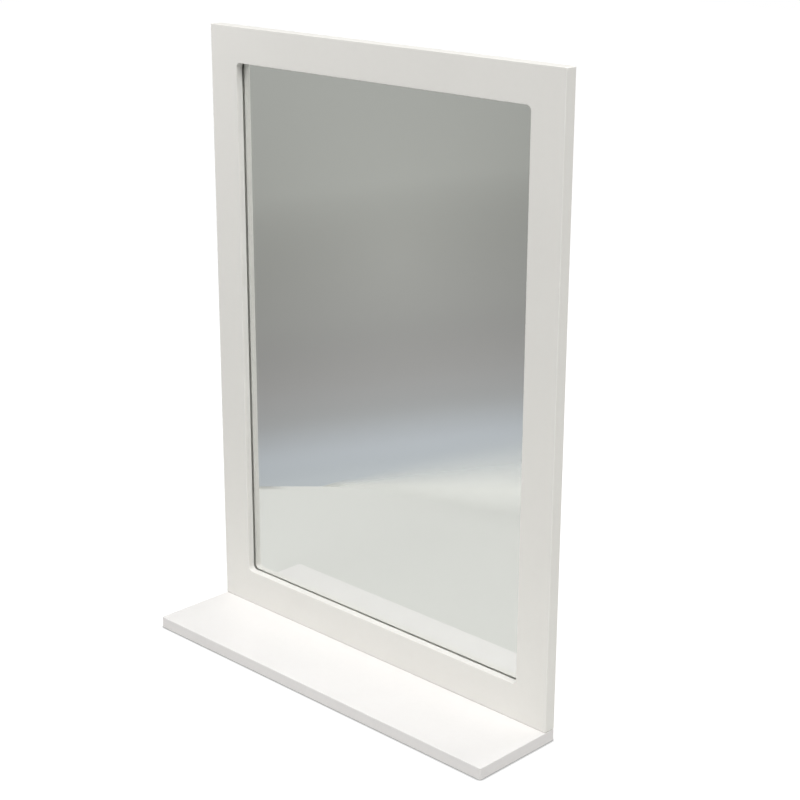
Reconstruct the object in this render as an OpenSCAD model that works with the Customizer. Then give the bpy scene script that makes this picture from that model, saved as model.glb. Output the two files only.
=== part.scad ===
// Wall mirror with a shelf: a one-piece routed board frame, a silvered pane held in its rebate by a
// thin back panel, two keyhole plates let into the back, and a shelf screwed on from below.
// Millimetres. X runs across the width, the front faces -Y and Z is up. The origin is under the middle
// of the shelf, on the plane that the shelf stands on.

/* [Frame] */
// Width of the frame, and so of the shelf
frame_w = 460; // [300:5:700]
// Height of the frame above the shelf
frame_h = 624; // [400:2:900]
// Thickness of the frame's board
frame_t = 13; // [12.5:0.5:18]
// Width of each upright side of the frame, seen from the front
stile_w = 38; // [36:0.5:60]
// Height of the frame's top rail, seen from the front
top_rail_h = 36; // [30:0.5:60]
// Height of the frame's bottom rail above the shelf
bottom_rail_h = 37.5; // [32:0.5:60]
// Corner radius that the router leaves in the opening
opening_r = 5; // [3:0.5:10]
// Radius that eases the boards' edges
edge_r = 1; // [0.5:0.1:1.5]

/* [Mirror] */
// Thickness of the pane
glass_t = 3; // [2:0.5:4]
// How far the pane reaches behind the frame's lip
glass_overlap = 6; // [4:0.5:8]
// Play round the pane's edge in its rebate
glass_play = 0.5; // [0.3:0.1:0.8]

/* [Back panel] */
// Thickness of the back panel
panel_t = 2.5; // [2:0.5:3]
// Width of the ledge that the back panel is screwed to
panel_ledge = 8; // [7:0.5:9]
// Play round the back panel's edge
panel_play = 0.5; // [0.3:0.1:0.8]
// Corner radius that the router leaves in both rebates
rebate_r = 5; // [3:0.5:8]
// Largest distance between neighbouring screws of the back panel
panel_screw_pitch = 160; // [100:10:250]

/* [Shelf] */
// Depth of the shelf, from the wall to its front edge
shelf_d = 105; // [70:1:160]
// Thickness of the shelf
shelf_t = 12; // [10:0.5:18]
// Distance of the outer shelf screws from the ends of the shelf
shelf_screw_inset = 45; // [25:1:70]
// Number of screws that hold the shelf
shelf_screw_count = 3; // [2:1:4]
// How far the shelf's screw heads lie below its underside
shelf_screw_sink = 0.4; // [0.2:0.1:1]
// Diameter of the dowels that line the shelf up with the frame
dowel_d = 6; // [5:0.5:7]
// Length of the dowels
dowel_len = 25; // [20:1:30]
// Depth of the dowel holes in the shelf
dowel_in_shelf = 8; // [6:0.5:8]

/* [Screws] */
// Shank diameter of the shelf screws
shelf_screw_d = 3.5; // [3:0.1:4.5]
// Head diameter of the shelf screws
shelf_screw_head_d = 7; // [6.5:0.1:8]
// Length of the shelf screws
shelf_screw_len = 38; // [30:1:45]
// Shank diameter of the small screws in the back panel and the hanger plates
small_screw_d = 3; // [2.5:0.1:3.2]
// Head diameter of the small screws
small_screw_head_d = 5.5; // [5.2:0.1:5.8]
// Length of the small screws
small_screw_len = 9; // [7:0.5:10]
// Play between a screw or dowel and its hole, on the radius
hole_play = 0.05; // [0.02:0.01:0.1]

/* [Hanger plates] */
// Length of a hanger plate
hanger_len = 48; // [46:1:60]
// Width of a hanger plate
hanger_w = 16; // [15:0.5:18]
// Thickness of a hanger plate
hanger_t = 1.5; // [1.4:0.1:2]
// Play round a hanger plate in its recess
hanger_play = 0.2; // [0.1:0.05:0.4]
// Distance of the hanger plates' middle from the top of the frame
hanger_drop = 96; // [60:1:150]
// Distance between the two screws of a hanger plate
hanger_screw_pitch = 36; // [34:0.5:38]
// Diameter of the keyhole's round entry, which lets a wall screw's head in
keyhole_entry_d = 9; // [8:0.5:9.5]
// Width of the keyhole's slot, which takes the wall screw's shank
keyhole_slot_w = 4.5; // [4.3:0.1:5]
// Travel from the entry's centre up to the slot's end
keyhole_travel = 10; // [8:0.5:11]
// Depth of the pocket behind the plate, for the wall screw's head
pocket_depth = 5; // [4.5:0.5:6]
// Room beside the entry in that pocket, on each side
pocket_margin = 1; // [0.5:0.1:1.5]

/* [Hidden] */
$fn = 48;

// Depths: the wall side of everything is flush at y_back
y_back = shelf_d / 2;
y_front = y_back - frame_t;
y_frame_mid = y_back - frame_t / 2;
y_panel = y_back - panel_t;
y_glass = y_panel - glass_t;

// The opening, and the two rebates behind it, one step wider each
opening_w = frame_w - 2 * stile_w;
opening_h = frame_h - top_rail_h - bottom_rail_h;
opening_z = shelf_t + bottom_rail_h + opening_h / 2;
glass_rebate_w = opening_w + 2 * glass_overlap;
glass_rebate_h = opening_h + 2 * glass_overlap;
panel_rebate_w = glass_rebate_w + 2 * panel_ledge;
panel_rebate_h = glass_rebate_h + 2 * panel_ledge;
// A square corner is clipped by this much to clear a rebate's round corner
corner_clip = rebate_r * (2 - sqrt(2));

// Screw places
panel_screws_x = max(2, ceil(panel_rebate_w / panel_screw_pitch));
panel_screws_z = max(2, ceil(panel_rebate_h / panel_screw_pitch));
shelf_screw_step = (frame_w - 2 * shelf_screw_inset) / (shelf_screw_count - 1);
hanger_x = frame_w / 2 - (stile_w - glass_overlap - panel_ledge) / 2;
hanger_z = shelf_t + frame_h - hanger_drop;

// Small fixed details
eps = 0.01;
screw_rim = 0.3;
screw_tip = 2;
drill_extra = 1;
recess_w = 0.8;
recess_depth = 1.1;
recess_span = 0.55;
dowel_chamfer = 0.7;
opening_ease = edge_r / 2;

// ---------- Shapes shared by the pieces ----------

// Rectangle with round corners, centred
module round_rect(w, h, r) {
    square([w - 2 * r, h], center = true);
    square([w, h - 2 * r], center = true);
    for (sx = [-1, 1], sy = [-1, 1])
        translate([sx * (w / 2 - r), sy * (h / 2 - r)])
            circle(r);
}

// Rectangle with clipped corners, centred
module clipped_rect(w, h, c) {
    x = w / 2;
    y = h / 2;
    polygon([
        [-x + c, -y], [x - c, -y], [x, -y + c], [x, y - c],
        [x - c, y], [-x + c, y], [-x, y - c], [-x, -y + c],
    ]);
}

// Slab standing in the X-Z plane: its children's outline runs from y0 for a thickness t towards +Y
module upright(y0, t) {
    translate([0, y0 + t, 0])
        rotate([90, 0, 0])
            linear_extrude(t)
                children();
}

// Rectangle standing on the X axis, its two upper corners rounded
module round_top(w, h, r) {
    translate([-w / 2, 0])
        square([w, h - r]);
    translate([r - w / 2, 0])
        square([w - 2 * r, h]);
    for (s = [-1, 1])
        translate([s * (w / 2 - r), h - r])
            circle(r);
}

// Board with every edge eased, centred in X and Y and standing on z = 0
module eased_board(w, d, h, r) {
    intersection() {
        upright(-d / 2, d)
            translate([0, h / 2])
                round_rect(w, h, r);
        translate([-w / 2, 0, h / 2])
            rotate([90, 0, 90])
                linear_extrude(w)
                    round_rect(d, h, r);
        linear_extrude(h)
            round_rect(w, d, r);
    }
}

// Board with its upper edges eased all round, which lies flat out to its crisp lower edges
module shelf_board(w, d, h, r) {
    intersection() {
        upright(-d / 2, d)
            round_top(w, h, r);
        translate([-w / 2, 0, 0])
            rotate([90, 0, 90])
                linear_extrude(w)
                    round_top(d, h, r);
    }
}

// Countersunk screw, its head's face at z = 0 and its tip towards -Z. grow makes it its own hole.
module screw_body(d, head_d, len, grow = 0) {
    r = d / 2 + grow;
    head_r = head_d / 2 + grow;
    cone_end = screw_rim + head_d / 2 - d / 2;
    top = grow > 0 ? 2 : 0;
    end = grow > 0 ? len + drill_extra : len;
    rotate_extrude()
        polygon([
            [0, top], [head_r, top], [head_r, -screw_rim], [r, -cone_end],
            [r, screw_tip - end], [r / 4, -end], [0, -end],
        ]);
}

// The screw itself, with a cross recess in its head
module screw(d, head_d, len) {
    difference() {
        screw_body(d, head_d, len);
        for (a = [0, 90])
            rotate(a)
                translate([-head_d * recess_span / 2, -recess_w / 2, -recess_depth])
                    cube([head_d * recess_span, recess_w, recess_depth + 1]);
    }
}

module small_screw() { screw(small_screw_d, small_screw_head_d, small_screw_len); }
module small_screw_hole() { screw_body(small_screw_d, small_screw_head_d, small_screw_len, hole_play); }
module shelf_screw() { screw(shelf_screw_d, shelf_screw_head_d, shelf_screw_len); }
module shelf_screw_hole() { screw_body(shelf_screw_d, shelf_screw_head_d, shelf_screw_len, hole_play); }

// ---------- Places ----------

// Each screw of the back panel, driven from the wall side, in the middle of the ledge
module at_panel_screws() {
    x_side = (glass_rebate_w + panel_ledge) / 2;
    z_side = (glass_rebate_h + panel_ledge) / 2;
    along_x = [for (i = [0:panel_screws_x - 1]) (i + 0.5) / panel_screws_x - 0.5];
    along_z = [for (i = [0:panel_screws_z - 1]) (i + 0.5) / panel_screws_z - 0.5];
    for (k = along_x, s = [-1, 1])
        from_wall(k * panel_rebate_w, opening_z + s * z_side) children();
    for (k = along_z, s = [-1, 1])
        from_wall(s * x_side, opening_z + k * panel_rebate_h) children();
}

// Turns a screw so that its head is flush with the wall side and its tip points forward
module from_wall(x, z) {
    translate([x, y_back, z])
        rotate([-90, 0, 0])
            children();
}

module at_hanger_screws() {
    for (sx = [-1, 1], sz = [-1, 1])
        from_wall(sx * hanger_x, hanger_z + sz * hanger_screw_pitch / 2) children();
}

// Each screw of the shelf, driven upwards from below
module at_shelf_screws() {
    for (i = [0:shelf_screw_count - 1])
        translate([shelf_screw_inset - frame_w / 2 + i * shelf_screw_step, y_frame_mid, shelf_screw_sink])
            rotate([180, 0, 0])
                children();
}

// Each dowel, halfway between two shelf screws, from the bottom of its hole in the shelf
module at_dowels() {
    for (i = [0:shelf_screw_count - 2])
        translate([
            shelf_screw_inset - frame_w / 2 + (i + 0.5) * shelf_screw_step,
            y_frame_mid,
            shelf_t - dowel_in_shelf,
        ])
            children();
}

// ---------- Frame ----------

// Cutter that rounds the front arris of the opening, along its straight sides and its corners
module opening_easing() {
    r = opening_ease;
    x = opening_w / 2 - opening_r;
    z = opening_h / 2 - opening_r;
    translate([0, y_front, opening_z])
        rotate([90, 0, 0])
            for (q = [0:3]) {
                side = q % 2 == 0 ? z : x;
                reach = q % 2 == 0 ? x : z;
                rotate(q * 90)
                    translate([reach, 0, 0]) {
                        translate([opening_r, side, 0])
                            rotate([90, 0, 0])
                                linear_extrude(2 * side)
                                    easing_profile(r, 0);
                        translate([0, side, 0])
                            rotate_extrude(angle = 90)
                                easing_profile(r, opening_r);
                    }
            }
}

// What a quarter round of radius r takes off an arris at x = at, seen in section, with some spare
module easing_profile(r, at) {
    translate([at, 0])
        difference() {
            translate([-r / 2, -r])
                square([1.5 * r, 1.5 * r]);
            translate([r, -r])
                circle(r);
        }
}

// Pocket behind a hanger plate, where the wall screw's head travels
module hanger_pocket() {
    r = keyhole_entry_d / 2 + pocket_margin;
    floor_y = y_back - hanger_t - pocket_depth;
    translate([0, 0, hanger_z])
        upright(floor_y, pocket_depth + hanger_t)
            slot_outline(r, keyhole_travel);
}

// Upright slot with round ends, of radius r and with that distance between its ends' centres
module slot_outline(r, travel) {
    square([2 * r, travel], center = true);
    for (s = [-1, 1])
        translate([0, s * travel / 2])
            circle(r);
}

module frame() {
    color("whitesmoke")
        difference() {
            translate([0, y_frame_mid, shelf_t])
                eased_board(frame_w, frame_t, frame_h, edge_r);
            translate([0, 0, opening_z]) {
                upright(y_front - 1, frame_t)
                    round_rect(opening_w, opening_h, opening_r);
                upright(y_glass, frame_t)
                    round_rect(glass_rebate_w, glass_rebate_h, rebate_r);
                upright(y_panel, frame_t)
                    round_rect(panel_rebate_w, panel_rebate_h, rebate_r);
            }
            opening_easing();
            for (s = [-1, 1])
                translate([s * hanger_x, 0, 0]) {
                    translate([0, 0, hanger_z])
                        upright(y_back - hanger_t, frame_t)
                            slot_outline(hanger_w / 2 + hanger_play, hanger_len - hanger_w);
                    hanger_pocket();
                }
            at_panel_screws() small_screw_hole();
            at_hanger_screws() small_screw_hole();
            at_shelf_screws() shelf_screw_hole();
            at_dowels() cylinder(r = dowel_d / 2 + hole_play, h = dowel_len + drill_extra);
        }
}

// ---------- Mirror and back panel ----------

module mirror_glass() {
    color("lightsteelblue")
        translate([0, 0, opening_z])
            upright(y_glass, glass_t)
                clipped_rect(
                    glass_rebate_w - 2 * glass_play,
                    glass_rebate_h - 2 * glass_play,
                    corner_clip
                );
}

module back_panel() {
    color("peru")
        difference() {
            translate([0, 0, opening_z])
                upright(y_panel, panel_t)
                    clipped_rect(
                        panel_rebate_w - 2 * panel_play,
                        panel_rebate_h - 2 * panel_play,
                        corner_clip
                    );
            at_panel_screws() small_screw_hole();
        }
}

module back_panel_screws() {
    color("silver")
        at_panel_screws() small_screw();
}

// ---------- Hanger plates ----------

module hanger_plate(side) {
    color("lightgray")
        difference() {
            translate([side * hanger_x, 0, hanger_z])
                upright(y_back - hanger_t, hanger_t)
                    difference() {
                        slot_outline(hanger_w / 2, hanger_len - hanger_w);
                        slot_outline(keyhole_slot_w / 2, keyhole_travel);
                        translate([0, -keyhole_travel / 2])
                            circle(keyhole_entry_d / 2);
                    }
            at_hanger_screws() small_screw_hole();
        }
}

module hanger_plate_left() { hanger_plate(-1); }
module hanger_plate_right() { hanger_plate(1); }

module hanger_screws() {
    color("silver")
        at_hanger_screws() small_screw();
}

// ---------- Shelf ----------

module shelf() {
    color("white")
        difference() {
            shelf_board(frame_w, shelf_d, shelf_t, edge_r);
            at_shelf_screws() shelf_screw_hole();
            at_dowels() cylinder(r = dowel_d / 2 + hole_play, h = dowel_in_shelf + 1);
        }
}

module shelf_screws() {
    color("silver")
        at_shelf_screws() shelf_screw();
}

module shelf_dowels() {
    color("burlywood")
        at_dowels()
            rotate_extrude()
                polygon([
                    [0, eps], [dowel_d / 2 - dowel_chamfer, eps], [dowel_d / 2, dowel_chamfer],
                    [dowel_d / 2, dowel_len - dowel_chamfer],
                    [dowel_d / 2 - dowel_chamfer, dowel_len], [0, dowel_len],
                ]);
}

frame();
mirror_glass();
back_panel();
back_panel_screws();
hanger_plate_left();
hanger_plate_right();
hanger_screws();
shelf();
shelf_screws();
shelf_dowels();
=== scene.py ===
"""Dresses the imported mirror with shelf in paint, silvered glass, hardboard, zinc and beech.

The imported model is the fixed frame. Every piece takes its place from that frame's boxes, in metres.
X runs across the width, the front faces -Y and Z is up. The object stands on z = 0.
"""
import math
from functools import cached_property

import bmesh
import bpy
from mathutils import Matrix, Quaternion, Vector


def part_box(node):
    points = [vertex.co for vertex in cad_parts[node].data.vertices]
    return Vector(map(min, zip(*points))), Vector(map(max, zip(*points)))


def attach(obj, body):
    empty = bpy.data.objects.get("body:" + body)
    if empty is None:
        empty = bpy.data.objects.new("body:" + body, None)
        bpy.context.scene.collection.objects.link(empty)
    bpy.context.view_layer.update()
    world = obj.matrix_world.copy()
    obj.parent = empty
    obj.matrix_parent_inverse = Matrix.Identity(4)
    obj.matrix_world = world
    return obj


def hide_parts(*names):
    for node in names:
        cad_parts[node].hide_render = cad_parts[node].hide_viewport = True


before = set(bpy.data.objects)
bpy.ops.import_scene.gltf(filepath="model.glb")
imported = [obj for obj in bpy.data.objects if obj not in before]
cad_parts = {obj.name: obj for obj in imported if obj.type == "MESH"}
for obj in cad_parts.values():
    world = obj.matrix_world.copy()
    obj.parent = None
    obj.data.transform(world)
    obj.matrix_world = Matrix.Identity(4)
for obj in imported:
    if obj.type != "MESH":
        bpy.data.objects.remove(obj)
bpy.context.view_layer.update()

bl_info = {
    "name": "Mirror with shelf",
    "version": (1, 0, 0),
    "blender": (4, 5, 0),
    "location": "3D View > Sidebar > Mirror",
    "description": "Builds the visible pieces of a framed wall mirror with a shelf",
    "category": "Object",
}

MM = 0.001
ARC_STEPS = 6
QUARTER_ROUND = [
    (math.sin(math.pi / 2 * i / ARC_STEPS), math.cos(math.pi / 2 * i / ARC_STEPS))
    for i in range(ARC_STEPS + 1)
]
GOLDEN_TURN = math.radians(137.5)  # from one screw to the next, so that no two stand alike
SHARP = 40  # degrees from which two faces meet in an edge and not in a curve

AXIS = 0.01 * MM  # radius of a turned shape where it closes on its axis
PAST = 1 * MM  # how far a cutter stands past the face that it opens
PLAY = 0.05 * MM  # air round a screw or a dowel in its hole
PLATE_PLAY = 0.2 * MM  # air round a hanger plate in its recess
SEAT_PLAY = 0.5 * MM  # air at each edge of the pane and of the back panel


# ---------- What a user would change ----------


class PaintedBoards(bpy.types.PropertyGroup):
    """The frame and the shelf"""

    stile_width: bpy.props.FloatProperty(
        name="Stile width", description="Width of each upright side, seen from the front",
        default=38 * MM, min=30 * MM, max=60 * MM, precision=4, unit="LENGTH",
    )
    top_rail: bpy.props.FloatProperty(
        name="Top rail", description="Height of the top rail, seen from the front",
        default=36 * MM, min=30 * MM, max=60 * MM, precision=4, unit="LENGTH",
    )
    bottom_rail: bpy.props.FloatProperty(
        name="Bottom rail", description="Height of the bottom rail above the shelf",
        default=37.5 * MM, min=30 * MM, max=60 * MM, precision=4, unit="LENGTH",
    )
    opening_radius: bpy.props.FloatProperty(
        name="Opening radius", description="Corner radius that the router leaves in the opening",
        default=5 * MM, min=3 * MM, max=10 * MM, precision=4, unit="LENGTH",
    )
    rebate_radius: bpy.props.FloatProperty(
        name="Rebate radius", description="Corner radius that the router leaves in both rebates",
        default=5 * MM, min=3 * MM, max=8 * MM, precision=4, unit="LENGTH",
    )
    edge_radius: bpy.props.FloatProperty(
        name="Edge radius", description="Radius that sanding leaves on the boards' long edges",
        default=0.8 * MM, min=0.3 * MM, max=1 * MM, precision=5, unit="LENGTH",
    )
    corner_radius: bpy.props.FloatProperty(
        name="Corner radius", description="Radius on the boards' outer corners",
        default=1.2 * MM, min=1 * MM, max=3 * MM, precision=5, unit="LENGTH",
    )
    opening_easing: bpy.props.FloatProperty(
        name="Opening easing", description="Radius on the front arris round the opening",
        default=0.7 * MM, min=0.3 * MM, max=1 * MM, precision=5, unit="LENGTH",
    )
    paint: bpy.props.FloatVectorProperty(
        name="Paint", description="Colour of the satin paint",
        default=(0.866, 0.85, 0.812), min=0, max=1, size=3, subtype="COLOR",
    )
    paint_gloss: bpy.props.FloatProperty(
        name="Paint roughness", description="Roughness of the satin paint",
        default=0.42, min=0.2, max=0.8, subtype="FACTOR",
    )


class SilveredPane(bpy.types.PropertyGroup):
    """The mirror and the panel behind it"""

    seat_gap: bpy.props.FloatProperty(
        name="Seat gap", description="Air between the lip and the pane",
        default=0.03 * MM, min=0, max=0.2 * MM, precision=6, unit="LENGTH",
    )
    arris: bpy.props.FloatProperty(
        name="Arris", description="Width of the ground arris along the pane's edges",
        default=0.3 * MM, min=0.1 * MM, max=1 * MM, precision=5, unit="LENGTH",
    )
    backing: bpy.props.FloatProperty(
        name="Backing", description="Thickness of the protective paint behind the silver",
        default=0.06 * MM, min=0.02 * MM, max=0.2 * MM, precision=6, unit="LENGTH",
    )
    glass: bpy.props.FloatVectorProperty(
        name="Glass", description="Tint of the float glass",
        default=(0.99, 0.991, 0.992), min=0, max=1, size=3, subtype="COLOR",
    )
    silver: bpy.props.FloatVectorProperty(
        name="Silver", description="Colour of the silvering",
        default=(0.865, 0.875, 0.86), min=0, max=1, size=3, subtype="COLOR",
    )
    backing_paint: bpy.props.FloatVectorProperty(
        name="Backing paint", description="Colour of the paint behind the silver",
        default=(0.18, 0.19, 0.19), min=0, max=1, size=3, subtype="COLOR",
    )
    hardboard: bpy.props.FloatVectorProperty(
        name="Hardboard", description="Colour of the back panel",
        default=(0.33, 0.19, 0.095), min=0, max=1, size=3, subtype="COLOR",
    )


class Fittings(bpy.types.PropertyGroup):
    """Screws, dowels and hanger plates"""

    recess_width: bpy.props.FloatProperty(
        name="Recess width", description="Width of each slot of the cross recess in a screw's head",
        default=0.8 * MM, min=0.5 * MM, max=1.2 * MM, precision=5, unit="LENGTH",
    )
    recess_depth: bpy.props.FloatProperty(
        name="Recess depth", description="Depth of the cross recess",
        default=1.1 * MM, min=0.6 * MM, max=1.5 * MM, precision=5, unit="LENGTH",
    )
    thread_pitch: bpy.props.FloatProperty(
        name="Thread pitch", description="Pitch of the screws' threads",
        default=1.3 * MM, min=0.8 * MM, max=2 * MM, precision=5, unit="LENGTH",
    )
    keyhole_entry: bpy.props.FloatProperty(
        name="Keyhole entry", description="Diameter of the keyhole's round entry",
        default=9 * MM, min=8 * MM, max=9.5 * MM, precision=5, unit="LENGTH",
    )
    keyhole_slot: bpy.props.FloatProperty(
        name="Keyhole slot", description="Width of the keyhole's slot",
        default=4.5 * MM, min=4.3 * MM, max=5 * MM, precision=5, unit="LENGTH",
    )
    keyhole_travel: bpy.props.FloatProperty(
        name="Keyhole travel", description="Distance from the entry's centre to the slot's end",
        default=10 * MM, min=8 * MM, max=11 * MM, precision=5, unit="LENGTH",
    )
    pocket_depth: bpy.props.FloatProperty(
        name="Pocket depth", description="Depth of the pocket behind a hanger plate",
        default=5 * MM, min=4.5 * MM, max=6 * MM, precision=5, unit="LENGTH",
    )
    zinc: bpy.props.FloatVectorProperty(
        name="Zinc", description="Colour of the zinc plating",
        default=(0.62, 0.64, 0.67), min=0, max=1, size=3, subtype="COLOR",
    )
    beech: bpy.props.FloatVectorProperty(
        name="Beech", description="Colour of the dowels",
        default=(0.62, 0.41, 0.24), min=0, max=1, size=3, subtype="COLOR",
    )


class Studio(bpy.types.PropertyGroup):
    """Camera, floor and light"""

    camera_place: bpy.props.FloatVectorProperty(
        name="Camera place", description="Where the camera stands",
        default=(1.1705, -1.1298, 0.8355), size=3, precision=4, subtype="XYZ", unit="LENGTH",
    )
    camera_aim: bpy.props.FloatVectorProperty(
        name="Camera aim", description="Point that the camera looks at",
        default=(0.0374, 0.0395, 0.2990), size=3, precision=4, subtype="XYZ", unit="LENGTH",
    )
    camera_roll: bpy.props.FloatProperty(
        name="Camera roll", description="Turn of the camera about its line of sight",
        default=math.radians(0.21), precision=4, subtype="ANGLE",
    )
    camera_lens: bpy.props.FloatProperty(
        name="Camera lens", description="Focal length in millimetres, on a sensor 36 mm wide",
        default=79.88, min=20, max=200,
    )
    daylight: bpy.props.FloatProperty(
        name="Daylight", description="Strength of the even light from all round",
        default=0.22, min=0, max=2,
    )
    key_power: bpy.props.FloatProperty(
        name="Key softbox", description="Power of the large softbox overhead, at the right",
        default=75.5, min=0, max=300, unit="POWER",
    )
    left_fill_power: bpy.props.FloatProperty(
        name="Left fill", description="Power of the small fill light close to the left side",
        default=3.2, min=0, max=300, unit="POWER",
    )
    right_power: bpy.props.FloatProperty(
        name="Right softbox", description="Power of the softbox at the right side",
        default=5.2, min=0, max=300, unit="POWER",
    )
    behind_power: bpy.props.FloatProperty(
        name="Back softbox", description="Power of the softbox behind the object",
        default=20, min=0, max=300, unit="POWER",
    )
    table_top: bpy.props.FloatVectorProperty(
        name="Table top", description="Colour of the table that the mirror shows",
        default=(0.72, 0.723, 0.695), min=0, max=1, size=3, subtype="COLOR",
    )


GROUPS = {
    "painted_boards": PaintedBoards,
    "silvered_pane": SilveredPane,
    "fittings": Fittings,
    "studio": Studio,
}


# ---------- Outlines and meshes ----------


def rounded_outline(width, height, radius, steps=ARC_STEPS):
    """Points (x, z) of a rectangle with round corners, counter-clockwise and centred on 0, 0."""
    points = []
    for side_x, side_z, start in ((1, 1, 0), (-1, 1, 90), (-1, -1, 180), (1, -1, 270)):
        centre = Vector((side_x * (width / 2 - radius), side_z * (height / 2 - radius)))
        for step in range(steps + 1):
            angle = math.radians(start + 90 * step / steps)
            points.append(centre + radius * Vector((math.cos(angle), math.sin(angle))))
    return points


def loft(name, rings, closed=False):
    """Mesh object that joins neighbouring rings, and if closed the last to the first."""
    mesh = bpy.data.meshes.new(name)
    build = bmesh.new()
    rows = [[build.verts.new(p) for p in ring] for ring in rings]
    pairs = list(zip(rows, rows[1:]))
    if closed:
        pairs.append((rows[-1], rows[0]))
    else:
        build.faces.new(list(reversed(rows[0])))
        build.faces.new(rows[-1])
    for row, following in pairs:
        count = len(row)
        for i in range(count):
            j = (i + 1) % count
            build.faces.new((row[i], row[j], following[j], following[i]))
    bmesh.ops.recalc_face_normals(build, faces=build.faces)
    build.to_mesh(mesh)
    build.free()
    return link(name, mesh)


def link(name, mesh):
    obj = bpy.data.objects.new(name, mesh)
    bpy.context.scene.collection.objects.link(obj)
    return obj


def apply_modifiers(obj):
    """Turns what the modifiers make into the object's own mesh."""
    graph = bpy.context.evaluated_depsgraph_get()
    mesh = bpy.data.meshes.new_from_object(obj.evaluated_get(graph))
    obj.modifiers.clear()
    old = obj.data
    obj.data = mesh
    bpy.data.meshes.remove(old)


def join(name, objects):
    """One object in place of several, made of their meshes where they stand."""
    build = bmesh.new()
    for obj in objects:
        part = obj.data.copy()
        part.transform(obj.matrix_world)
        build.from_mesh(part)
        bpy.data.meshes.remove(part)
    mesh = bpy.data.meshes.new(name)
    build.to_mesh(mesh)
    build.free()
    for data in {obj.data for obj in objects}:
        bpy.data.meshes.remove(data)
    return link(name, mesh)


def cut(obj, cutters):
    """Takes the cutters, which don't touch each other, out of the object."""
    cutter = join("cutter", cutters)
    boolean = obj.modifiers.new("cut", "BOOLEAN")
    boolean.operation = "DIFFERENCE"
    boolean.solver = "EXACT"
    boolean.object = cutter
    apply_modifiers(obj)
    bpy.data.meshes.remove(cutter.data)


def soften(obj, width):
    """Bevels the sharp edges by a small width."""
    bevel = obj.modifiers.new("soften", "BEVEL")
    bevel.width = width
    bevel.segments = 2
    bevel.limit_method = "ANGLE"
    bevel.angle_limit = math.radians(SHARP)
    apply_modifiers(obj)


def shade(obj, angle=SHARP):
    """Smooth shading that leaves flat parts and the edges over that angle as they are."""
    mesh = obj.data
    mesh.polygons.foreach_set("use_smooth", [True] * len(mesh.polygons))
    mesh.set_sharp_from_angle(angle=math.radians(angle))
    weighted = obj.modifiers.new("flat faces stay flat", "WEIGHTED_NORMAL")
    weighted.keep_sharp = True
    weighted.weight = 90


def solid_boxes(node):
    """(lowest, highest) corner of each solid in a CAD node, from the left and from below."""
    build = bmesh.new()
    build.from_mesh(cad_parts[node].data)
    bmesh.ops.remove_doubles(build, verts=build.verts, dist=0.001 * MM)
    left = set(build.verts)
    boxes = []
    while left:
        found = [left.pop()]
        low = Vector(found[0].co)
        high = Vector(low)
        while found:
            vert = found.pop()
            low = Vector(map(min, low, vert.co))
            high = Vector(map(max, high, vert.co))
            for edge in vert.link_edges:
                other = edge.other_vert(vert)
                if other in left:
                    left.remove(other)
                    found.append(other)
        boxes.append((low, high))
    build.free()
    return sorted(boxes, key=lambda box: (round(box[0].x, 4), round(box[0].z, 4)))


def put_in_place(obj, node, slot, *materials):
    """Gives a finished piece its materials, hides its CAD node and hangs the piece on the root body.
    """
    for material in materials:
        obj.data.materials.append(material)
    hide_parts(node)
    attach(obj, "root")


# ---------- Materials ----------


# Dust colour, which also paints shade into corners and seams.
DUST_AND_SHADE = (0.30, 0.27, 0.235)
PALE_FIBRE = (0.52, 0.36, 0.21)


def scaled(colour, factor):
    """Lighter or darker shade of a colour."""
    return tuple(min(1, factor * c) for c in colour)


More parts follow.
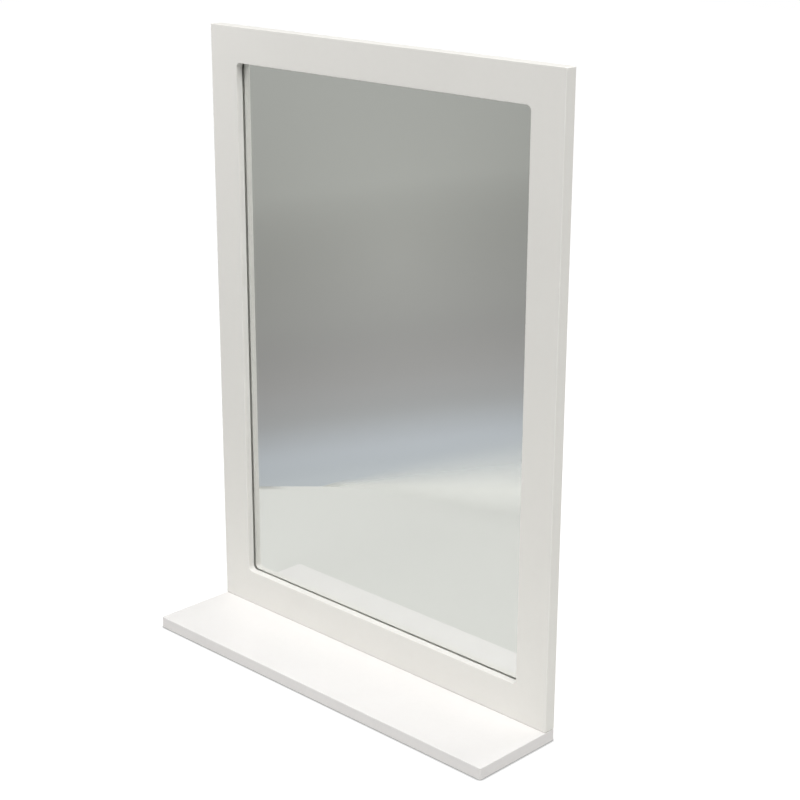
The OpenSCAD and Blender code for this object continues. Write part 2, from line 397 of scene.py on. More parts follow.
class Nodes:
    """Short way to wire the nodes of a new material, or of a new world."""

    def __init__(self, name, world=False):
        self.owner = (bpy.data.worlds if world else bpy.data.materials).new(name)
        self.owner.use_nodes = True
        self.tree = self.owner.node_tree
        self.surface = self.tree.nodes["Background" if world else "Principled BSDF"]

    @cached_property
    def place(self):
        """Where a point lies on the object, in metres."""
        return self.add("ShaderNodeTexCoord").outputs["Object"]

    def put(self, value, socket):
        """Wires another socket to this one, or sets it to a number, a vector or a colour."""
        if isinstance(value, bpy.types.NodeSocket):
            self.tree.links.new(value, socket)
        elif socket.type == "RGBA":
            socket.default_value = (*value, 1)
        else:
            socket.default_value = value

    def add(self, kind, inputs=None, **options):
        """New node with those options, and with a value or another node's socket for its inputs."""
        node = self.tree.nodes.new(kind)
        for name, option in options.items():
            setattr(node, name, option)
        for name, value in (inputs or {}).items():
            self.put(value, node.inputs[name])
        return node

    def drive(self, **inputs):
        """Gives inputs of the surface a value or another node's socket. _ stands for a space."""
        for name, value in inputs.items():
            self.put(value, self.surface.inputs[name.replace("_", " ")])

    def show(self, shader):
        """Shows that shader's node in place of the plain surface."""
        self.put(shader.outputs[0], self.tree.nodes["Material Output"].inputs["Surface"])

    def noise(self, scale, detail=2, roughness=0.5, stretch=(1, 1, 1), waviness=0):
        """Noise with features about 1 / scale metres wide, drawn out where stretch is small."""
        drawn = self.add("ShaderNodeMapping", {"Vector": self.place, "Scale": stretch})
        return self.add("ShaderNodeTexNoise", {
            "Vector": drawn.outputs["Vector"], "Scale": scale, "Detail": detail,
            "Roughness": roughness, "Distortion": waviness,
        }).outputs["Fac"]

    def between(self, factor, low, high, start=0, end=1):
        """Number from low to high, as factor goes from start to end."""
        return self.add("ShaderNodeMapRange", {
            "Value": factor, "From Min": start, "From Max": end, "To Min": low, "To Max": high,
        }).outputs["Result"]

    def blend(self, factor, low, high):
        """Colour between two, each a socket or a plain colour."""
        mix = self.add("ShaderNodeMix", {"Factor": factor, "A": low, "B": high}, data_type="RGBA")
        return mix.outputs["Result"]

    def shades(self, factor, colour, darkest, lightest):
        """Colour between two shades of the same one."""
        return self.blend(factor, scaled(colour, darkest), scaled(colour, lightest))

    def reckon(self, operation, *values):
        """Result of that operation on one or two values, each a socket or a number."""
        node = self.add("ShaderNodeMath", dict(enumerate(values)), operation=operation)
        return node.outputs["Value"]

    def rubbed_edge(self, radius):
        """0 on flat parts, up to 1 on arrises, where a rounded normal turns away from the face."""
        rounded = self.add("ShaderNodeBevel", {"Radius": radius}, samples=6).outputs["Normal"]
        face = self.add("ShaderNodeNewGeometry").outputs["True Normal"]
        level = self.add("ShaderNodeVectorMath", {0: rounded, 1: face}, operation="DOT_PRODUCT")
        return self.between(level.outputs["Value"], 1, 0, start=0.85, end=0.995)

    def openness(self, reach, samples):
        """1 on open surfaces, less where other surfaces stand within reach."""
        node = self.add("ShaderNodeAmbientOcclusion", {"Distance": reach}, samples=samples)
        return node.outputs["AO"]

    def relief(self, *layers):
        """Roughens the surface with (height, depth) layers, each lying on the one before."""
        under = None
        for height, depth in layers:
            bump = self.add("ShaderNodeBump", {"Height": height, "Distance": depth})
            if under is not None:
                self.put(under, bump.inputs["Normal"])
            under = bump.outputs["Normal"]
        self.drive(Normal=under)


def satin_paint(boards, name, tone=(1, 1, 1), extra_roughness=0, dust_and_shade=1):
    """Sprayed satin paint: faint clouds, orange peel and arrises rubbed warm, with dust and painted
    shade darkening its corners and seams.
    """
    m = Nodes(name)
    colour = tuple(c * t for c, t in zip(boards.paint, tone))
    warm = tuple(c * w for c, w in zip(colour, (0.97, 0.94, 0.89)))
    cloud = m.noise(9, detail=3)
    mottle = m.noise(160, detail=4, roughness=0.6)
    body = m.shades(m.between(cloud, 0, 1, start=0.3, end=0.7), colour, 0.985, 1.01)
    mottled = m.between(mottle, 0, 0.35, start=0.45, end=0.8)
    body = m.blend(mottled, body, scaled(colour, 0.97))
    body = m.blend(m.between(m.rubbed_edge(0.7 * MM), 0, 0.3), body, warm)
    # Dust and painted shade: darker towards the dust colour where other surfaces stand within 1.6 mm,
    # as in corners and at seams.
    corner_dust_and_shade = m.between(m.openness(1.6 * MM, samples=6), dust_and_shade, 0, start=0.12, end=0.5)
    gloss = boards.paint_gloss + extra_roughness
    m.drive(
        Base_Color=m.blend(corner_dust_and_shade, body, DUST_AND_SHADE),
        Roughness=m.between(mottle, gloss - 0.05, gloss + 0.06, start=0.3, end=0.7),
    )
    m.relief((m.noise(520, roughness=0.45), 0.03 * MM), (m.noise(2600), 0.008 * MM))
    return m.owner


def clear_glass(pane):
    """Float glass with a faint tint. The lamps light what lies behind it as if it weren't there."""
    m = Nodes("float_glass")
    m.drive(Base_Color=pane.glass, Transmission_Weight=1, IOR=1.52, Roughness=0)
    to_lamp = m.add("ShaderNodeLightPath").outputs["Is Shadow Ray"]
    clear = m.add("ShaderNodeBsdfTransparent").outputs["BSDF"]
    m.show(m.add("ShaderNodeMixShader", {"Fac": to_lamp, 1: m.surface.outputs["BSDF"], 2: clear}))
    return m.owner


def silvering(pane):
    """Silver behind the glass, with a haze so faint that it hardly shows."""
    m = Nodes("silvering")
    m.drive(Base_Color=m.shades(m.noise(14), pane.silver, 0.995, 1), Metallic=1, Roughness=0.012)
    return m.owner


def protective_paint(pane):
    """Matt paint that keeps the silver from damp, sprayed on as fine drops."""
    m = Nodes("mirror_backing_paint")
    drops = m.noise(700, detail=3)
    m.drive(
        Base_Color=m.shades(drops, pane.backing_paint, 0.85, 1.15),
        Roughness=m.between(drops, 0.6, 0.8),
    )
    m.relief((drops, 0.02 * MM))
    return m.owner


def pressed_hardboard(pane):
    """Pressed wood fibre: dark and pale fibres over a brown ground, polished here and there."""
    m = Nodes("hardboard")
    cloud = m.noise(18, detail=3)
    upright, level = (
        m.noise(480, detail=5, roughness=0.7, stretch=stretch, waviness=1.6)
        for stretch in ((1, 1, 0.28), (0.28, 1, 1))
    )
    body = m.shades(cloud, pane.hardboard, 0.86, 1.12)
    dark = m.between(upright, 0, 0.55, start=0.52, end=0.72)
    body = m.blend(dark, body, scaled(pane.hardboard, 0.5))
    pale = m.between(level, 0, 0.5, start=0.55, end=0.75)
    m.drive(
        Base_Color=m.blend(pale, body, PALE_FIBRE),
        Roughness=m.between(cloud, 0.42, 0.6, start=0.3, end=0.7),
    )
    m.relief((m.reckon("ADD", upright, level), 0.03 * MM))
    return m.owner


def zinc_plate(fittings):
    """Bright zinc on steel: fine rolling marks and blotches of the plating."""
    m = Nodes("zinc_plating")
    blotch = m.noise(240, detail=4, roughness=0.6)
    rolled = m.noise(1500, detail=3, stretch=(1, 1, 0.05))
    rough = m.between(blotch, 0.26, 0.4, start=0.3, end=0.7)
    blotched = m.between(blotch, 0, 1, start=0.35, end=0.65)
    m.drive(
        Base_Color=m.shades(blotched, fittings.zinc, 0.84, 1.08),
        Metallic=1,
        Roughness=m.reckon("ADD", rough, m.between(rolled, -0.04, 0.05)),
    )
    m.relief((rolled, 0.006 * MM))
    return m.owner


def turned_beech(fittings):
    """Beech along the grain, with its short dark flecks."""
    m = Nodes("beech")
    grain = m.noise(900, detail=4, stretch=(1, 1, 0.08))
    fleck = m.between(m.noise(1600, stretch=(1, 1, 0.25)), 0, 0.6, start=0.62, end=0.72)
    body = m.shades(grain, fittings.beech, 0.8, 1.12)
    m.drive(Base_Color=m.blend(fleck, body, scaled(fittings.beech, 0.45)), Roughness=0.6)
    m.relief((grain, 0.03 * MM))
    return m.owner


# ---------- Sheets and fittings ----------


def upright_ring(outline, y, z, x=0):
    """Ring of an (x, z) outline, standing at that place."""
    return [Vector((x + p[0], y, z + p[1])) for p in outline]


def clipped_sheet(name, box, radius, levels):
    """Upright sheet that fills a box less an inset at each (inset, y) level.

    Its corners are clipped, so that they clear a round of that radius.
    """
    low, high = box
    width, height = high.x - low.x, high.z - low.z
    clip = radius * (2 - math.sqrt(2))
    rings = []
    for inset, y in levels:
        outline = rounded_outline(width - 2 * inset, height - 2 * inset, clip, steps=1)
        rings.append(upright_ring(outline, y, (low.z + high.z) / 2))
    return loft(name, rings)


def stadium(width, length, y0, y1, centre, name="stadium"):
    """Upright plate with round ends, from y0 to y1 and centred on (x, z)."""
    outline = rounded_outline(width, length, width / 2 - 0.001 * MM, steps=12)
    return loft(name, [upright_ring(outline, y, centre[1], centre[0]) for y in (y0, y1)])


def revolved(name, profile, steps=24):
    """Closed solid turned about Z from (radius, z) points, which start and end on the axis."""
    angles = [math.tau * i / steps for i in range(steps)]
    return loft(name, [
        [Vector((radius * math.cos(a), radius * math.sin(a), z)) for a in angles]
        for radius, z in profile
    ])


def drill(radius, bottom, top, steps=24):
    """Round cutter along Z."""
    profile = [(AXIS, bottom), (radius, bottom), (radius, top), (AXIS, top)]
    return revolved("drill", profile, steps)


def tipped(place, turn):
    """Matrix that puts an upright shape at a place, tipped about X."""
    return Matrix.Translation(place) @ Matrix.Rotation(turn, 4, "X")


class ScrewShape:
    """Sizes of a countersunk screw, read from the box of one of its node's solids."""

    rim = 0.3 * MM  # straight edge of the head, above its cone
    tip = 2 * MM  # length of the point
    easing = 0.1 * MM  # round of the head's rim and of the recess
    root = 0.4 * MM  # drop from the shank below the head to the thread's root

    def __init__(self, box, fittings):
        size = box[1] - box[0]
        self.length = max(size)
        self.head = min(size)
        short = self.length < 20 * MM
        self.shank = 3 * MM if short else self.head / 2
        self.cone_end = self.rim + (self.head - self.shank) / 2
        self.pitch = fittings.thread_pitch
        self.recess_width = fittings.recess_width
        self.recess_depth = fittings.recess_depth

    def hole(self):
        """Cutter for the screw's own hole, open above its head and as deep as the screw is long."""
        head, core = self.head / 2 + PLAY, self.shank / 2 + PLAY
        return revolved("hole", [
            (AXIS, 2 * PAST), (head, 2 * PAST), (head, -self.rim), (core, -self.cone_end),
            (core, self.tip - self.length), (PLAY, -self.length - PLAY),
        ])

    def body(self):
        """The screw, head up, with its thread wound from below the head to the tip."""
        steps, rows_per_turn = 20, 5
        head, crest = self.head / 2, self.shank / 2
        core = 0.7 * crest
        # Each row is its radius without the thread, its z and the height of the thread.
        rows = [
            (2 * AXIS, 0, 0), (head - self.easing, 0, 0), (head, -self.easing, 0),
            (head, -self.rim, 0), (crest, -self.cone_end, 0), (core, -self.cone_end - self.root, 0),
        ]
        start = -self.cone_end - (self.root + self.easing)
        count = math.ceil((self.length + start) / (self.pitch / rows_per_turn))
        for i in range(count):
            z = start + (-self.length - start) * i / count
            taper = min(1, (z + self.length) / self.tip)
            height = (crest - core) * min(1, i / rows_per_turn) * taper
            rows.append((core * max(taper, 0.05), z, height))
        rows.append((AXIS, -self.length, 0))
        rings = []
        for radius, z, height in rows:
            ring = []
            for i in range(steps):
                phase = (z / self.pitch + i / steps) % 1
                # The ridge takes up two thirds of the pitch.
                r = radius + height * max(0, 1 - 3 * abs(phase - 0.5))
                a = math.tau * i / steps
                ring.append(Vector((r * math.cos(a), r * math.sin(a), z)))
            rings.append(ring)
        screw = loft("screw", rings)
        self.cut_recess(screw)
        return screw

    def cut_recess(self, screw):
        """Cuts the cross recess into the head: two slots that narrow downwards."""
        length, width = 0.55 * self.head, self.recess_width
        top = rounded_outline(length, width, self.easing, steps=1)
        foot = rounded_outline(0.45 * length, 0.5 * width, self.easing, steps=1)
        bars = []
        for turn in (0, math.pi / 2):
            bar = loft("bar", [
                [Vector((*p, z)) for p in outline]
                for outline, z in ((foot, -self.recess_depth), (top, 2 * AXIS), (top, PAST))
            ])
            bar.matrix_world = Matrix.Rotation(turn, 4, "Z")
            bars.append(bar)
        for bar in bars:
            cut(screw, [bar])


def screw_places(node):
    """Matrix from the upright screw to each place where the node has one, each turned further."""
    places = []
    for i, (low, high) in enumerate(solid_boxes(node)):
        middle = (low + high) / 2
        if high.z - low.z > high.y - low.y:
            place = tipped((middle.x, middle.y, low.z), math.pi)
        else:
            place = tipped((middle.x, high.y, middle.z), -math.pi / 2)
        places.append(place @ Matrix.Rotation(GOLDEN_TURN * i, 4, "Z"))
    return places


def copies(shape, places):
    """Copies at those places, each with its own mesh, in place of the object itself."""
    made = []
    for place in places:
        copy = link("copy", shape.data.copy())
        copy.matrix_world = place
        made.append(copy)
    bpy.data.meshes.remove(shape.data)
    return made


def screw_holes(node, fittings, side=0):
    """Cutters for the holes of a node's screws: all, or those at the left (-1) or the right (1)."""
    places = [place for place in screw_places(node) if place.translation.x * side >= 0]
    return copies(ScrewShape(solid_boxes(node)[0], fittings).hole(), places)


def dowel_holes():
    """Cutters for the dowels' holes."""
    cutters = []
    for low, high in solid_boxes("shelf_dowels"):
        middle = (low + high) / 2
        hole = drill((high.x - low.x) / 2 + PLAY, low.z - PLAY, high.z + PAST)
        hole.matrix_world = Matrix.Translation((middle.x, middle.y, 0))
        cutters.append(hole)
    return cutters


# ---------- Pieces ----------


class MIRROR_OT_frame(bpy.types.Operator):
    """Builds the painted frame: one board with its opening, rebates and hanger pockets"""

    bl_idname = "mirror.frame"
    bl_label = "Frame"

    def execute(self, context):
        boards = context.scene.painted_boards
        fittings = context.scene.fittings
        low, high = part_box("frame")
        pane_low, pane_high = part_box("mirror_glass")
        panel_low, panel_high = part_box("back_panel")
        width, height = high.x - low.x, high.z - low.z
        middle = (low.z + high.z) / 2
        opening = (width - 2 * boards.stile_width, height - boards.top_rail - boards.bottom_rail)
        opening_z = low.z + boards.bottom_rail + opening[1] / 2
        glass_seat, panel_seat = (
            (most.x - least.x + 2 * SEAT_PLAY, most.z - least.z + 2 * SEAT_PLAY)
            for least, most in ((pane_low, pane_high), (panel_low, panel_high))
        )
        edge, corner, ease = boards.edge_radius, boards.corner_radius, boards.opening_easing

        def outer(inset, y):
            outline = rounded_outline(width - 2 * inset, height - 2 * inset, corner - inset)
            return upright_ring(outline, y, middle)

        def inner(size, radius, y, spread=0):
            outline = rounded_outline(size[0] + 2 * spread, size[1] + 2 * spread, radius + spread)
            return upright_ring(outline, y, opening_z)

        rings = [inner(panel_seat, boards.rebate_radius, high.y)]
        rings += [outer(edge * (1 - s), high.y - edge * (1 - c)) for s, c in QUARTER_ROUND]
        rings += [outer(edge * (1 - c), low.y + edge * (1 - s)) for s, c in QUARTER_ROUND]
        rings += [
            inner(opening, boards.opening_radius, low.y + ease * (1 - c), ease * (1 - s))
            for s, c in QUARTER_ROUND
        ]
        rings += [
            inner(opening, boards.opening_radius, pane_low.y),
            inner(glass_seat, boards.rebate_radius, pane_low.y),
            inner(glass_seat, boards.rebate_radius, panel_low.y),
            inner(panel_seat, boards.rebate_radius, panel_low.y),
        ]
        body = loft("frame_board", rings, closed=True)
        pocket = fittings.keyhole_entry + 2 * MM
        recesses, pockets = [], []
        for side in ("left", "right"):
            plate_low, plate_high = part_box("hanger_plate_" + side)
            centre = ((plate_low.x + plate_high.x) / 2, (plate_low.z + plate_high.z) / 2)
            recesses.append(stadium(
                plate_high.x - plate_low.x + 2 * PLATE_PLAY,
                plate_high.z - plate_low.z + 2 * PLATE_PLAY,
                plate_low.y, plate_high.y + PAST, centre,
            ))
            pockets.append(stadium(
                pocket, pocket + fittings.keyhole_travel,
                plate_low.y - fittings.pocket_depth, plate_high.y, centre,
            ))
        cut(body, recesses)
        cut(body, pockets)
        for node in ("back_panel_screws", "hanger_screws", "shelf_screws"):
            cut(body, screw_holes(node, fittings))
        cut(body, dowel_holes())
        shade(body)
        paint = satin_paint(boards, "white_satin_paint", dust_and_shade=0.4)
        put_in_place(body, "frame", "white_paint", paint)
        return {"FINISHED"}


class MIRROR_OT_shelf(bpy.types.Operator):
    """Builds the painted shelf with its eased edges and the holes for its screws and dowels"""

    bl_idname = "mirror.shelf"
    bl_label = "Shelf"

    def execute(self, context):
        boards = context.scene.painted_boards
        low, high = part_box("shelf")
        size = high - low
        edge, corner = boards.edge_radius, boards.corner_radius
        levels = [(edge * (1 - s), low.z + edge * (1 - c)) for s, c in QUARTER_ROUND]
        levels += [(edge * (1 - c), high.z - edge * (1 - s)) for s, c in QUARTER_ROUND]
        rings = []
        for inset, z in levels:
            outline = rounded_outline(size.x - 2 * inset, size.y - 2 * inset, corner - inset)
            rings.append([Vector((*p, z)) for p in outline])
        body = loft("shelf_board", rings)
        cut(body, screw_holes("shelf_screws", context.scene.fittings))
        cut(body, dowel_holes())
        shade(body)
        paint = satin_paint(boards, "white_shelf_paint", tone=(1, 1, 1.03))
        # The shelf's upright edges take a darker, cooler copy of the paint than its top.
        edge_paint = satin_paint(
            boards, "white_edge_paint", tone=(0.92, 0.91, 0.95), extra_roughness=0.3,
        )
        put_in_place(body, "shelf", "white_paint", paint, edge_paint)
        for polygon in body.data.polygons:
            if abs(polygon.normal.z) < 0.5:
                polygon.material_index = 1
        return {"FINISHED"}


class MIRROR_OT_pane(bpy.types.Operator):
    """Builds the silvered pane: clear glass, silver on its back and the paint that guards it"""

    bl_idname = "mirror.pane"
    bl_label = "Silvered pane"

    def execute(self, context):
        pane = context.scene.silvered_pane
        radius = context.scene.painted_boards.rebate_radius
        low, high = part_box("mirror_glass")
        front, back = low.y + pane.seat_gap, high.y - pane.backing
        glass = clipped_sheet("mirror_pane", (low, high), radius, (
            (pane.arris, front), (0, front + pane.arris),
            (0, back - pane.arris), (pane.arris, back),
        ))
        put_in_place(glass, "mirror_glass", "silvered_glass", clear_glass(pane), silvering(pane))
        hair = 0.01 * MM
        for polygon in glass.data.polygons:
            if polygon.center.y > back - hair:
                polygon.material_index = 1
        backing = clipped_sheet("mirror_backing", (low, high), radius, (
            (pane.arris, back + hair), (pane.arris, high.y),
        ))
        put_in_place(backing, "mirror_glass", "silvered_glass", protective_paint(pane))
        return {"FINISHED"}


class MIRROR_OT_back_panel(bpy.types.Operator):
    """Builds the hardboard panel behind the pane"""

    bl_idname = "mirror.back_panel"
    bl_label = "Back panel"

    def execute(self, context):
        scene = context.scene
        low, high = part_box("back_panel")
        fuzz = 0.2 * MM
        body = clipped_sheet("hardboard_panel", (low, high), scene.painted_boards.rebate_radius, (
            (fuzz, low.y), (0, low.y + fuzz), (0, high.y - fuzz), (fuzz, high.y),
        ))
        cut(body, screw_holes("back_panel_screws", scene.fittings))
        shade(body)
        put_in_place(body, "back_panel", "hardboard", pressed_hardboard(scene.silvered_pane))
        return {"FINISHED"}


class MIRROR_OT_screws(bpy.types.Operator):
    """Builds every screw, with its cross recess and its thread"""

    bl_idname = "mirror.screws"
    bl_label = "Screws"

    def execute(self, context):
        fittings = context.scene.fittings
        zinc = zinc_plate(fittings)
        for node in ("back_panel_screws", "hanger_screws", "shelf_screws"):
            shape = ScrewShape(solid_boxes(node)[0], fittings).body()
            screws = join(node + "_threaded", copies(shape, screw_places(node)))
            shade(screws, angle=50)
            put_in_place(screws, node, "zinc", zinc)
        return {"FINISHED"}


class MIRROR_OT_hanger_plates(bpy.types.Operator):
    """Builds the two keyhole plates let into the back of the frame"""

    bl_idname = "mirror.hanger_plates"
    bl_label = "Hanger plates"

    def execute(self, context):
        fittings = context.scene.fittings
        zinc = bpy.data.materials.get("zinc_plating") or zinc_plate(fittings)
        entry, slot, travel = fittings.keyhole_entry, fittings.keyhole_slot, fittings.keyhole_travel
        for side in ("left", "right"):
            node = "hanger_plate_" + side
            low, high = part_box(node)
            centre = ((low.x + high.x) / 2, (low.z + high.z) / 2)
            plate = stadium(
                high.x - low.x, high.z - low.z, low.y, high.y, centre, name=node + "_pressed",
            )
            cut(plate, [stadium(slot, slot + travel, low.y - PAST, high.y + PAST, centre)])
            round_entry = drill(entry / 2, -PAST, high.y - low.y + PAST, steps=48)
            round_entry.matrix_world = tipped(
                (centre[0], low.y, centre[1] - travel / 2), -math.pi / 2,
            )
            cut(plate, [round_entry])
            cut(plate, screw_holes("hanger_screws", fittings, side=math.copysign(1, centre[0])))
            soften(plate, 0.15 * MM)
            shade(plate)
            put_in_place(plate, node, "zinc", zinc)
        return {"FINISHED"}


class MIRROR_OT_dowels(bpy.types.Operator):
    """Builds the fluted dowels between the shelf and the frame"""

    bl_idname = "mirror.dowels"
    bl_label = "Dowels"

    def execute(self, context):
        flutes, depth, chamfer = 14, 0.18 * MM, 0.7 * MM
        angles = [math.tau * i / (4 * flutes) for i in range(4 * flutes)]
        dowels = []
        for low, high in solid_boxes("shelf_dowels"):
            middle = (low + high) / 2
            radius = (high.x - low.x) / 2
            rings = []
            for inset, z in (
                (chamfer, low.z), (0, low.z + chamfer), (0, high.z - chamfer), (chamfer, high.z),
            ):
                ring = []
                for a in angles:
                    r = radius - inset - depth * (1 - math.cos(flutes * a)) / 2
                    ring.append(Vector((middle.x + r * math.cos(a), middle.y + r * math.sin(a), z)))
                rings.append(ring)
            dowels.append(loft("dowel", rings))
        body = join("fluted_dowels", dowels)
        shade(body, angle=60)
        put_in_place(body, "shelf_dowels", "beech", turned_beech(context.scene.fittings))
        return {"FINISHED"}


# ---------- Stage ----------

FLOOR = -0.1 * MM  # height of the floor and of the table top
FLOOR_REACH = 6
FLOOR_COLOUR = (0.12, 0.12, 0.12)
# The floor's two shadows: reach, openness where it is darkest and clear, least and most light.
FLOOR_SHADOWS = (
    (50 * MM, 0.4, 1, 0.9, 0.99),
    (4 * MM, 0.5, 0.9, 0.3, 1),
)

# Painted light: the table's paper glows at this strength, which keeps the shadows on it faint.
TABLE_GLOW = 1.1
CREASE_MIDDLE = Vector((-0.472, -0.207))
CREASE_RUN = Vector((0.711, -0.703))
CREASE_OUTWARD = Vector((-0.703, -0.711))

WALL_RADIUS = 5
WALL_CENTRE = (0, 0, 0.3)
WALL_TILT = Quaternion((0.71, 0.703, 0), math.radians(-6.5))
POOL_OF_LIGHT = (-0.709, -0.689, -0.215)
POOL_RADIUS = 0.377
POOL_LIFT = 1.66
# Height in degrees at which the wall is seen, and its tone there. It is darker above 20 degrees.
WALL_TONES = (
    (-30, (0.60, 0.63, 0.65)),
    (-21.4, (0.462, 0.49, 0.515)),
    (-20.2, (0.42, 0.442, 0.47)),
    (-19, (0.334, 0.341, 0.348)),
    (-17.5, (0.29, 0.287, 0.285)),
    (-15, (0.256, 0.255, 0.247)),
    (-9, (0.308, 0.311, 0.295)),
    (20, (0.58, 0.59, 0.57)),
    (21, (0.45, 0.455, 0.435)),
)


def staged(obj, material, *visible):
    """Gives a floor or backdrop its material, and lets only the kinds of ray that are named see it.
    """
    obj.data.materials.append(material)
    for kind in ("camera", "diffuse", "glossy", "transmission", "volume_scatter", "shadow"):
        setattr(obj, "visible_" + kind, kind in visible)


def background_rays(m):
    """1 for the rays that show the white background: those of the camera, mirrors and glass."""
    path = m.add("ShaderNodeLightPath").outputs
    seen = m.reckon("MAXIMUM", path["Is Camera Ray"], path["Is Glossy Ray"])
    return m.reckon("MAXIMUM", seen, path["Is Transmission Ray"])


def white_floor_material():
    """White floor with the object's soft shadow, darker where the object stands close over it."""
    m = Nodes("studio_floor")
    m.tree.nodes.remove(m.surface)
    lit = m.add("ShaderNodeBsdfDiffuse", {"Color": FLOOR_COLOUR})
    shown = background_rays(m)
    for reach, darkest, clear, least, most in FLOOR_SHADOWS:
        light = m.between(m.openness(reach, samples=8), least, most, start=darkest, end=clear)
        shown = m.reckon("MULTIPLY", light, shown)
    white = m.add("ShaderNodeEmission", {"Strength": shown})
    m.show(m.add("ShaderNodeAddShader", {0: lit.outputs[0], 1: white.outputs[0]}))
    return m.owner


def table_material(colour):
    """Matt paper that glows with painted light, with painted shade in its crease and painted light up
    its curl. It thins out to nothing at the top of its curl.
    """
    m = Nodes("studio_table")
    tone, cover = (
        m.add("ShaderNodeAttribute", attribute_name=name).outputs["Fac"]
        for name in ("tone", "cover")
    )
    paper = m.add(
        "ShaderNodeVectorMath", {0: scaled(colour, 0.5), "Scale": tone}, operation="SCALE",
    ).outputs["Vector"]
    # The tone attribute carries the painted shade and light. The paper glows with that colour as
    # painted light.
    m.drive(
        Base_Color=paper, Emission_Color=paper, Emission_Strength=TABLE_GLOW,
        Roughness=0.9, Specular_IOR_Level=0.1, Alpha=cover,
    )
    return m.owner


def wall_material():
    """Grey wall, whose tone changes with the height at which it is seen, with a pool of light."""
    m = Nodes("studio_wall")
    m.tree.nodes.remove(m.surface)
    direction = m.add("ShaderNodeVectorMath", {0: m.place}, operation="NORMALIZE").outputs["Vector"]
    upward = m.add("ShaderNodeSeparateXYZ", {0: direction}).outputs["Z"]
    low, high = WALL_TONES[0][0], WALL_TONES[-1][0]
    height = m.reckon("ARCSINE", upward)
    share = m.between(height, 0, 1, start=math.radians(low), end=math.radians(high))
    ramp = m.add("ShaderNodeValToRGB", {"Fac": share})
    ramp.color_ramp.interpolation = "CARDINAL"
    stops = ramp.color_ramp.elements
    stops.remove(stops[1])
    for degrees, colour in WALL_TONES:
        stop = stops[0] if degrees == low else stops.new((degrees - low) / (high - low))
        stop.color = (*colour, 1)
    pool = m.add("ShaderNodeMapping", {
        "Vector": direction, "Location": POOL_OF_LIGHT, "Scale": [POOL_RADIUS] * 3,
    }, vector_type="TEXTURE").outputs["Vector"]
    spread = m.add("ShaderNodeTexGradient", {"Vector": pool}, gradient_type="QUADRATIC_SPHERE")
    lift = m.between(spread.outputs["Fac"], 1, POOL_LIFT)
    m.show(m.add("ShaderNodeEmission", {"Color": ramp.outputs["Color"], "Strength": lift}))
    return m.owner


def smooth_step(value, start, end):
    """0 before start, 1 after end, with a smooth rise between."""
    share = min(1, max(0, (value - start) / (end - start)))
    return share * share * (3 - 2 * share)


def table_sheet():
    """Sheet of paper on the table. To the right it curls up, from a crease that comes nearer.

    The point attribute tone holds painted shade in the crease and along the foot of the curl and
    painted light up the curl, and cover says how much paper there is.
    """
    columns, curl_rows = 60, 14
    flat_rows = (0.015, 0.03, 0.045, 0.06, 0.1, 0.15, 0.2, 0.3, 2.4)
    length, highest = 2.4, 0.14
    curl_start, curl_growth, curl_lean = 0.095, 0.35, 0.9
    bend_start, bend = 0.11, 0.5
    crease_shade, crease_reach = 0.05, 0.06
    edge_shade, edge_reach = 0.025, 0.3
    curl_light, lightest, thinning = 0.32, 0.6, 0.45
    points, cover, tone = [], [], []
    for column in range(columns + 1):
        along = -length / 2 + length * column / columns
        rise = min(highest, curl_growth * max(0, along - curl_start) ** 0.95)
        foot = CREASE_MIDDLE + along * CREASE_RUN
        foot = foot - bend * max(0, along - bend_start) * CREASE_OUTWARD
        strength = min(1, rise / (highest / 2))
        for row in range(curl_rows, -1, -1):
            s = row / curl_rows
            spot = foot + CREASE_OUTWARD * (curl_lean * rise * s)
            points.append((spot.x, spot.y, FLOOR + rise * s * s))
            cover.append(1 - min(1, rise / 0.01) * smooth_step(s, thinning, 1))
            # Painted light up the curl, less the painted shade of its crease.
            light = curl_light * smooth_step(s, 0, lightest) - crease_shade
            tone.append(1 - edge_shade + strength * light)
        for distance in flat_rows:
            spot = foot - distance * CREASE_OUTWARD
            points.append((spot.x, spot.y, FLOOR))
            cover.append(1)
            # Painted shade in the crease and towards the foot of the curl.
            crease = crease_shade * strength * (1 - smooth_step(distance, 0, crease_reach))
            tone.append(1 - crease - edge_shade * (1 - smooth_step(distance, 0, edge_reach)))
    rows = curl_rows + 1 + len(flat_rows)
    faces = [
        (c * rows + r, c * rows + r + 1, (c + 1) * rows + r + 1, (c + 1) * rows + r)
        for c in range(columns) for r in range(rows - 1)
    ]
    mesh = bpy.data.meshes.new("studio_table")
    mesh.from_pydata(points, [], faces)
    for name, values in (("cover", cover), ("tone", tone)):
        mesh.attributes.new(name, "FLOAT", "POINT").data.foreach_set("value", values)
    mesh.polygons.foreach_set("use_smooth", [True] * len(mesh.polygons))
    return link("studio_table", mesh)


def look_along(obj, sight, roll=0):
    """Adds a lamp or the camera to the scene, turned to look along a line of sight."""
    obj.rotation_mode = "QUATERNION"
    obj.rotation_quaternion = sight.to_track_quat("-Z", "Y") @ Quaternion((0, 0, 1), roll)
    bpy.context.scene.collection.objects.link(obj)


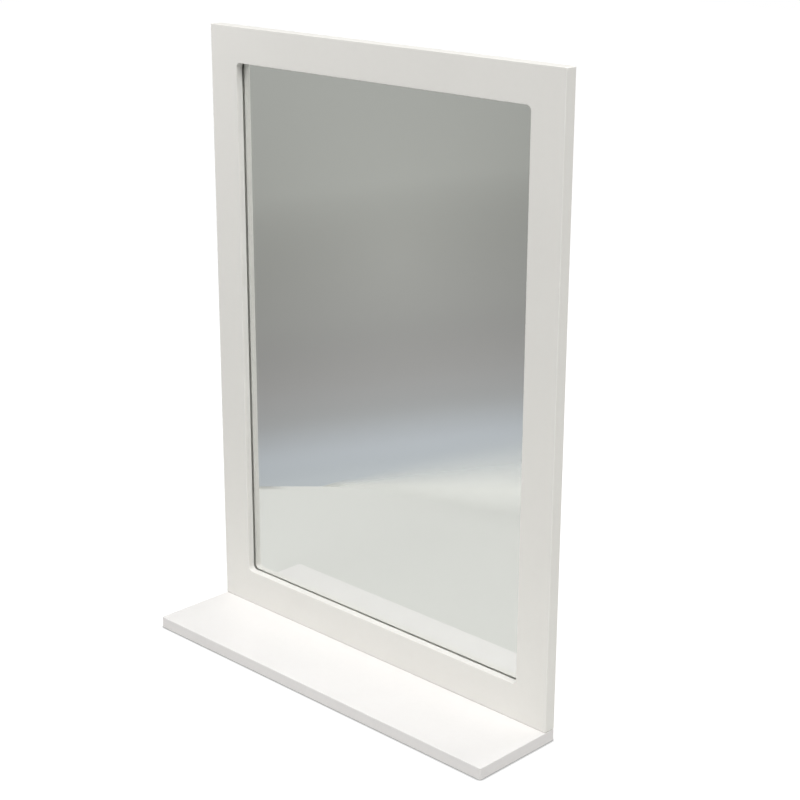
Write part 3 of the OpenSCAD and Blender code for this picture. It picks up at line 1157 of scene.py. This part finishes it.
class MIRROR_OT_studio(bpy.types.Operator):
    """Sets up the floor, the table and wall that the mirror shows, the light and the camera"""

    bl_idname = "mirror.studio"
    bl_label = "Studio"

    def execute(self, context):
        scene = context.scene
        scene.view_settings.view_transform = "Standard"
        self.light(scene, scene.studio)
        self.surroundings(scene.studio)
        self.camera(scene, scene.studio)
        return {"FINISHED"}

    def light(self, scene, studio):
        daylight = Nodes("studio_daylight", world=True)
        scene.world = daylight.owner
        strength = daylight.between(background_rays(daylight), studio.daylight, 1)
        daylight.drive(Color=(1, 1, 1), Strength=strength)
        for name, place, aim, size, power in (
            ("key", (0.9, -1.1, 2.9), (0, 0, 0), 1.8, studio.key_power),
            ("left_fill", (-0.9, -0.4, 0.85), (-0.2, 0, 0.5), 0.3, studio.left_fill_power),
            ("right", (2.3, 0.1, 1.2), (0, 0, 0.2), 1.2, studio.right_power),
            ("behind", (0.3, 2.2, 1.4), (0, 0, 0.2), 1.4, studio.behind_power),
        ):
            light = bpy.data.lights.new("studio_softbox_" + name, "AREA")
            light.size = size
            light.energy = power
            softbox = bpy.data.objects.new(light.name, light)
            softbox.location = place
            # The fill stands so near that the mirror would show it in a view from the right.
            softbox.visible_glossy = softbox.visible_transmission = name != "left_fill"
            look_along(softbox, Vector(aim) - softbox.location)

    def surroundings(self, studio):
        mesh = bpy.data.meshes.new("studio_floor")
        near, far = -FLOOR_REACH, FLOOR_REACH
        mesh.from_pydata(
            [(near, near, FLOOR), (far, near, FLOOR), (far, far, FLOOR), (near, far, FLOOR)],
            [], [(0, 1, 2, 3)],
        )
        staged(link(mesh.name, mesh), white_floor_material(), "camera")
        paper = table_material(studio.table_top)
        staged(table_sheet(), paper, "diffuse", "glossy", "transmission")
        mesh = bpy.data.meshes.new("studio_wall")
        build = bmesh.new()
        bmesh.ops.create_uvsphere(build, u_segments=64, v_segments=32, radius=WALL_RADIUS)
        build.to_mesh(mesh)
        build.free()
        wall = link("studio_wall", mesh)
        wall.location = WALL_CENTRE
        wall.rotation_mode = "QUATERNION"
        wall.rotation_quaternion = WALL_TILT
        staged(wall, wall_material(), "glossy", "transmission")

    def camera(self, scene, studio):
        data = bpy.data.cameras.new("studio_camera")
        data.sensor_width = 36
        data.lens = studio.camera_lens
        camera = bpy.data.objects.new("studio_camera", data)
        camera.location = studio.camera_place
        sight = Vector(studio.camera_aim) - Vector(studio.camera_place)
        look_along(camera, sight, studio.camera_roll)
        scene.camera = camera


STEPS = (
    MIRROR_OT_studio, MIRROR_OT_frame, MIRROR_OT_shelf, MIRROR_OT_pane, MIRROR_OT_back_panel,
    MIRROR_OT_screws, MIRROR_OT_hanger_plates, MIRROR_OT_dowels,
)


class MIRROR_PT_pieces(bpy.types.Panel):
    """Lists the steps and the values that they use"""

    bl_idname = "MIRROR_PT_pieces"
    bl_label = "Mirror with shelf"
    bl_space_type = "VIEW_3D"
    bl_region_type = "UI"
    bl_category = "Mirror"

    def draw(self, context):
        for step in STEPS:
            self.layout.operator(step.bl_idname)
        for group in GROUPS:
            box = self.layout.box()
            values = getattr(context.scene, group)
            for name in values.bl_rna.properties.keys():
                if name not in {"rna_type", "name"}:
                    box.prop(values, name)


def register():
    for name, group in GROUPS.items():
        bpy.utils.register_class(group)
        setattr(bpy.types.Scene, name, bpy.props.PointerProperty(type=group))
    for step in STEPS:
        bpy.utils.register_class(step)
    bpy.utils.register_class(MIRROR_PT_pieces)


def unregister():
    bpy.utils.unregister_class(MIRROR_PT_pieces)
    for step in reversed(STEPS):
        bpy.utils.unregister_class(step)
    for name, group in reversed(GROUPS.items()):
        delattr(bpy.types.Scene, name)
        bpy.utils.unregister_class(group)


def main():
    register()
    for step in STEPS:
        family, action = step.bl_idname.split(".")
        getattr(getattr(bpy.ops, family), action)()


if __name__ == "__main__":
    main()
